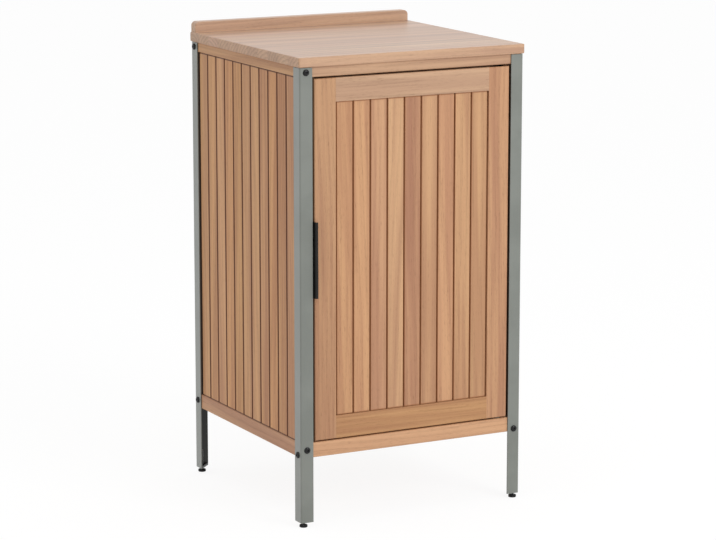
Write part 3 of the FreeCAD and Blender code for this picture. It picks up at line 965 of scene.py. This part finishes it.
# %% Moulded plastic
dust_noise = {"scale": 160.0, "detail": 4.0}
dust_edge = (0.45, 0.75)
dust_share = 0.6
dust_roughens = 0.15
mould_noise = {"scale": 1600.0, "detail": 1.0}
mould_depth = 0.05 * mm
mould_strength = 0.5
plastic_gloss = 0.25
pad_black = linear(22, 22, 23)
pad_dust = linear(44, 43, 41)
pad_roughness = 0.55


def moulded_plastic(name, colour, dusty, roughness):
    """Matt moulded plastic with a fine texture."""
    material, shade, surface = new_finish(name)
    place = shade.node("ShaderNodeTexCoord", output="Object")
    dust = shade.cloud(place, **dust_noise).ramp(*dust_edge)
    shade.feed(surface.inputs["Base Color"], shade.blend(colour, dusty, dust * dust_share))
    shade.feed(surface.inputs["Roughness"], roughness + dust * dust_roughens)
    surface.inputs["Specular IOR Level"].default_value = plastic_gloss
    bump(shade, surface, shade.cloud(place, **mould_noise), mould_depth, mould_strength)
    return material


pad_plastic = moulded_plastic("pad_plastic", pad_black, pad_dust, pad_roughness)
print("made", pad_plastic.name)

# %% Zinc plate
cloudy_noise = {"scale": 120.0, "detail": 4.0}
cloudy_edge = (0.3, 0.7)
cloudy_roughens = 0.14
mark_noise = {"scale": 2500.0, "detail": 2.0}
mark_stretch = 0.05
mark_roughens = 0.1
mark_depth = 0.02 * mm
mark_strength = 0.4
zinc_roughness = 0.28
zinc = linear(186, 188, 190)
zinc_dull = linear(150, 153, 157)
# The stem's zinc is dull plate, darkened further as painted shade for the fold it stands in.
stem_zinc = linear(122, 124, 126)
stem_zinc_dull = linear(90, 92, 95)


def zinc_plate(name, bright, dull, roughness):
    """Zinc plate, a little cloudy, with fine rolling marks."""
    material, shade, surface = new_finish(name)
    place = shade.node("ShaderNodeTexCoord", output="Object")
    cloudy = shade.cloud(place, **cloudy_noise).ramp(*cloudy_edge)
    x, y, z = place.parts()
    marks = shade.cloud(shade.vector(x * mark_stretch, y, z), **mark_noise)
    rough = roughness + cloudy * cloudy_roughens + (marks - 0.5) * mark_roughens
    shade.feed(surface.inputs["Base Color"], shade.blend(bright, dull, cloudy))
    surface.inputs["Metallic"].default_value = 1.0
    shade.feed(surface.inputs["Roughness"], rough)
    bump(shade, surface, marks, mark_depth, mark_strength)
    return material


bright_zinc = zinc_plate("bright_zinc", zinc, zinc_dull, zinc_roughness)
dull_zinc_and_shade = zinc_plate("dull_zinc_and_shade", stem_zinc, stem_zinc_dull, zinc_roughness)
print("made", bright_zinc.name, "and", dull_zinc_and_shade.name)

# %% [markdown]
# ## Levelling feet
# Each leg stands on a moulded black pad with a threaded stem. The pad is a thick disc with
# rounded rims and a shallow dish round the stem. A thread could be swept along a helix. Here it
# is a stack of rings whose radius rises and falls with the angle and climbs one pitch in
# a turn, so that the stem is one closed mesh.

# %% Pad
pad_low, pad_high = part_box("foot_pad_front_left")
pad_radius = (pad_high.x - pad_low.x) / 2
pad_height = pad_high.z - pad_low.z
pad_round = 1.2 * mm
pad_round_steps = 4
pad_sides = 48
dish_depth = 0.6 * mm
dish_radius = 5.0 * mm
dish_lip = 0.1 * mm
dish_slope = 0.4 * mm
collar_radius = 3.8 * mm
collar_slope = 0.2 * mm

pad_rings = []
for step in range(pad_round_steps + 1):
    angle = math.pi / 2 * step / pad_round_steps
    inset = pad_round * (1 - math.sin(angle))
    pad_rings.append((pad_round * (1 - math.cos(angle)), pad_radius - inset))
pad_rings += [(pad_height - height, radius) for height, radius in reversed(pad_rings)]
pad_rings += [
    (pad_height - dish_lip, dish_radius),
    (pad_height - dish_depth, dish_radius - dish_slope),
    (pad_height - dish_depth, collar_radius),
    (pad_height, collar_radius - collar_slope),
]
pad = stacked(pad_rings, pad_sides)
print("pad in mm:", round(2 * pad_radius / mm, 1), "across,", round(pad_height / mm, 1), "high")

# %% Threaded stem
stem_low, stem_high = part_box("foot_stem_front_left")
stem_radius = (stem_high.x - stem_low.x) / 2
stem_length = stem_high.z - stem_low.z
stem_chamfer = 0.8 * mm
stem_tip_inset = 0.5 * mm
stem_sides = 20
thread_pitch = 1.0 * mm
thread_depth = 0.55 * mm
thread_steps = 6


def thread(height):
    """Radius of the thread at a height: it climbs one pitch in a turn."""

    def radius(angle):
        turn = (height / thread_pitch - angle / (2 * math.pi)) % 1
        top = min(1.0, (stem_length - height) / stem_chamfer)
        return stem_radius - thread_depth * abs(2 * turn - 1) - (1 - top) * stem_tip_inset

    return radius


thread_rings = round(stem_length / thread_pitch * thread_steps)
thread_heights = [stem_length * k / thread_rings for k in range(thread_rings + 1)]
stem = stacked([(height, thread(height)) for height in thread_heights], stem_sides)
print("turns of the thread:", round(stem_length / thread_pitch, 1))

# %% Feet in their places
for corner in bolted_faces:
    low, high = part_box("foot_pad_" + corner)
    centre = (low + high) / 2
    body = "foot_" + corner
    pad_place = ((centre.x, centre.y, low.z), upward)
    stem_place = ((centre.x, centre.y, high.z), upward)
    moulded = copies("moulded_pad_" + corner, pad, [pad_place], pad_plastic, body)
    threaded = copies("threaded_stem_" + corner, stem, [stem_place], dull_zinc_and_shade, body)
    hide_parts("foot_pad_" + corner)
    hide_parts("foot_stem_" + corner)

# %% [markdown]
# ## Door pull and hidden hardware
# The pull is a strip of steel folded round the door's edge and coated black like the bolts.
# Behind the door sit two pivots, their bushes, a magnetic catch and the brackets that hold the
# top. The frame has their true forms, so they need only a finish and eased edges.

# %% Pull, pivots, catch and brackets
pull_black = linear(24, 22, 20)
pull_black_light = linear(36, 33, 30)
pull_roughness = 0.45
pull_gloss = 0.25
pivot_zinc = linear(30, 30, 29)
pivot_zinc_dull = linear(20, 20, 19)
pivot_roughness = 0.65
nylon = linear(150, 146, 134)
nylon_shade = linear(120, 116, 104)
nylon_roughness = 0.4
catch_roughness = 0.45
ferrite = linear(52, 52, 55)
ferrite_grain = linear(84, 84, 88)
ferrite_roughness = 0.6

pull_coat = powder_coat("pull_black_coat", pull_black, pull_black_light, pull_roughness, pull_gloss)
blackened_zinc = zinc_plate("blackened_zinc", pivot_zinc, pivot_zinc_dull, pivot_roughness)
natural_nylon = moulded_plastic("natural_nylon", nylon, nylon_shade, nylon_roughness)
catch_plastic = moulded_plastic("catch_plastic", pad_black, pad_dust, catch_roughness)
magnet_ferrite = moulded_plastic("ferrite", ferrite, ferrite_grain, ferrite_roughness)
hardware = {
    "door_pull": (pull_coat, 0.25 * mm),
    "door_pivots": (blackened_zinc, 0.2 * mm),
    "strike_plate": (bright_zinc, 0.2 * mm),
    "worktop_brackets": (bright_zinc, 0.3 * mm),
    "pivot_bushes": (natural_nylon, 0.2 * mm),
    "catch_housing": (catch_plastic, 0.5 * mm),
    "catch_magnet": (magnet_ferrite, 0.2 * mm),
}
for node, (finish, ease) in hardware.items():
    dress(node, finish, ease)
print("hardware:", list(hardware))

# %% [markdown]
# ## Wood screws
# Countersunk screws with a star recess hold the pull, the strike plate, the catch, the brackets,
# the battens and the floor boards. Their heads lie flush, so each is a shallow disc with a
# sunk star, set just proud of the face that it holds. A row of heads could be drawn in the
# finish, but a drawn recess has no depth. Door screws ride on the door, the rest on the cabinet.

# %% One screw head
screw_radius = 2.3 * mm
screw_proud = 0.08 * mm
screw_cone = 0.8
screw_sides = 36
star_lobes = 6
star_radius = 1.05 * mm
star_lobe = 0.22 * mm
star_depth = 0.9 * mm


def star(radius):
    """Radius of a star recess at an angle."""
    return lambda angle: radius + star_lobe * math.cos(star_lobes * angle)


screw_rings = [
    (-2 * star_depth, star_radius),
    (-star_depth, screw_radius * screw_cone),
    (0, screw_radius),
    (screw_proud, screw_radius - screw_proud),
    (screw_proud, star(star_radius + star_lobe / 2)),
    (screw_proud - star_depth, star(star_radius)),
]
screw = stacked(screw_rings, screw_sides)
print("faces of one screw head:", len(screw[1]))


# %% Places on a node's face
def face_places(node, way, shares):
    """Points on the face of a node's box that looks one way, by shares of its sides."""
    low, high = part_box(node)
    look = Vector(way)
    axis = max(range(3), key=lambda i: abs(look[i]))
    level = high[axis] if look[axis] > 0 else low[axis]
    first, second = [i for i in range(3) if i != axis]
    places = []
    for first_share, second_share in shares:
        point = Vector((0, 0, 0))
        point[axis] = level
        point[first] = low[first] + first_share * (high[first] - low[first])
        point[second] = low[second] + second_share * (high[second] - low[second])
        places.append((point, way))
    return places


print("middle of the worktop:", face_places("worktop", upward, [(0.5, 0.5)])[0][0])

# %% Screws in the door
into_cabinet = (0, 1, 0)
pull_shares = [(0.62, 0.15), (0.62, 0.5), (0.62, 0.85)]
strike_shares = [(0.07, 0.5), (0.93, 0.5)]
door_places = face_places("door_pull", into_cabinet, pull_shares)
door_places += face_places("strike_plate", into_cabinet, strike_shares)
copies("door_screws", screw, door_places, bright_zinc, "door")

# %% Screws through the floor boards and the catch
catch_shares = [(0.2, 0.8), (0.8, 0.8)]
floor_low, floor_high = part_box("floor_boards")
floor_pitch = (floor_high.y - floor_low.y) / floor_boards
cleat_inset = 12 * mm
board_pair = (0.25, 0.75)
cabinet_places = face_places("catch_housing", into_cabinet, catch_shares)
for number in range(floor_boards):
    for across in (floor_low.x + cleat_inset, floor_high.x - cleat_inset):
        for share in board_pair:
            along = floor_low.y + floor_pitch * (number + share)
            cabinet_places.append(((across, along, floor_high.z), upward))
print("screws so far:", len(cabinet_places))

# %% Screws through the shelf battens
batten_low, batten_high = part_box("shelf_battens")
batten_middle = (batten_low + batten_high) / 2
batten_thickness = 15 * mm
batten_shares = (0.06, 0.5, 0.94)
batten_face = batten_high.x - batten_middle.x - batten_thickness
for way in (-1, 1):
    for share in batten_shares:
        along = batten_low.y + share * (batten_high.y - batten_low.y)
        point = (batten_middle.x - way * batten_face, along, batten_middle.z)
        cabinet_places.append((point, (way, 0, 0)))
print("screws so far:", len(cabinet_places))

# %% Screws through the worktop brackets
bracket_low, bracket_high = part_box("worktop_brackets")
bracket_middle = (bracket_low + bracket_high) / 2
bracket_half = bracket_high.x - bracket_middle.x
bracket_wall = 2 * mm
bracket_screw_reach = 11 * mm
bracket_screw_rise = 6 * mm
bracket_screw_spread = 8 * mm
for inward in (Vector((1, 0, 0)), Vector((-1, 0, 0)), Vector((0, 1, 0)), Vector((0, -1, 0))):
    aside = Vector((-inward.y, inward.x, 0))
    for spread in (-bracket_screw_spread, bracket_screw_spread):
        spot = bracket_middle - inward * bracket_half + aside * spread
        into_rail = spot + inward * bracket_wall
        into_rail.z = bracket_low.z + bracket_screw_rise
        into_top = spot + inward * bracket_screw_reach
        into_top.z = bracket_high.z - bracket_wall
        cabinet_places += [(into_rail, inward), (into_top, -upward)]
copies("cabinet_screws", screw, cabinet_places, bright_zinc, "cabinet")

# %% [markdown] ## Last step The size of the dressed cabinet is measured.

# %% Measure
low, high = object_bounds()
print("dressed size in mm:", [round((b - a) / mm, 1) for a, b in zip(low, high)])
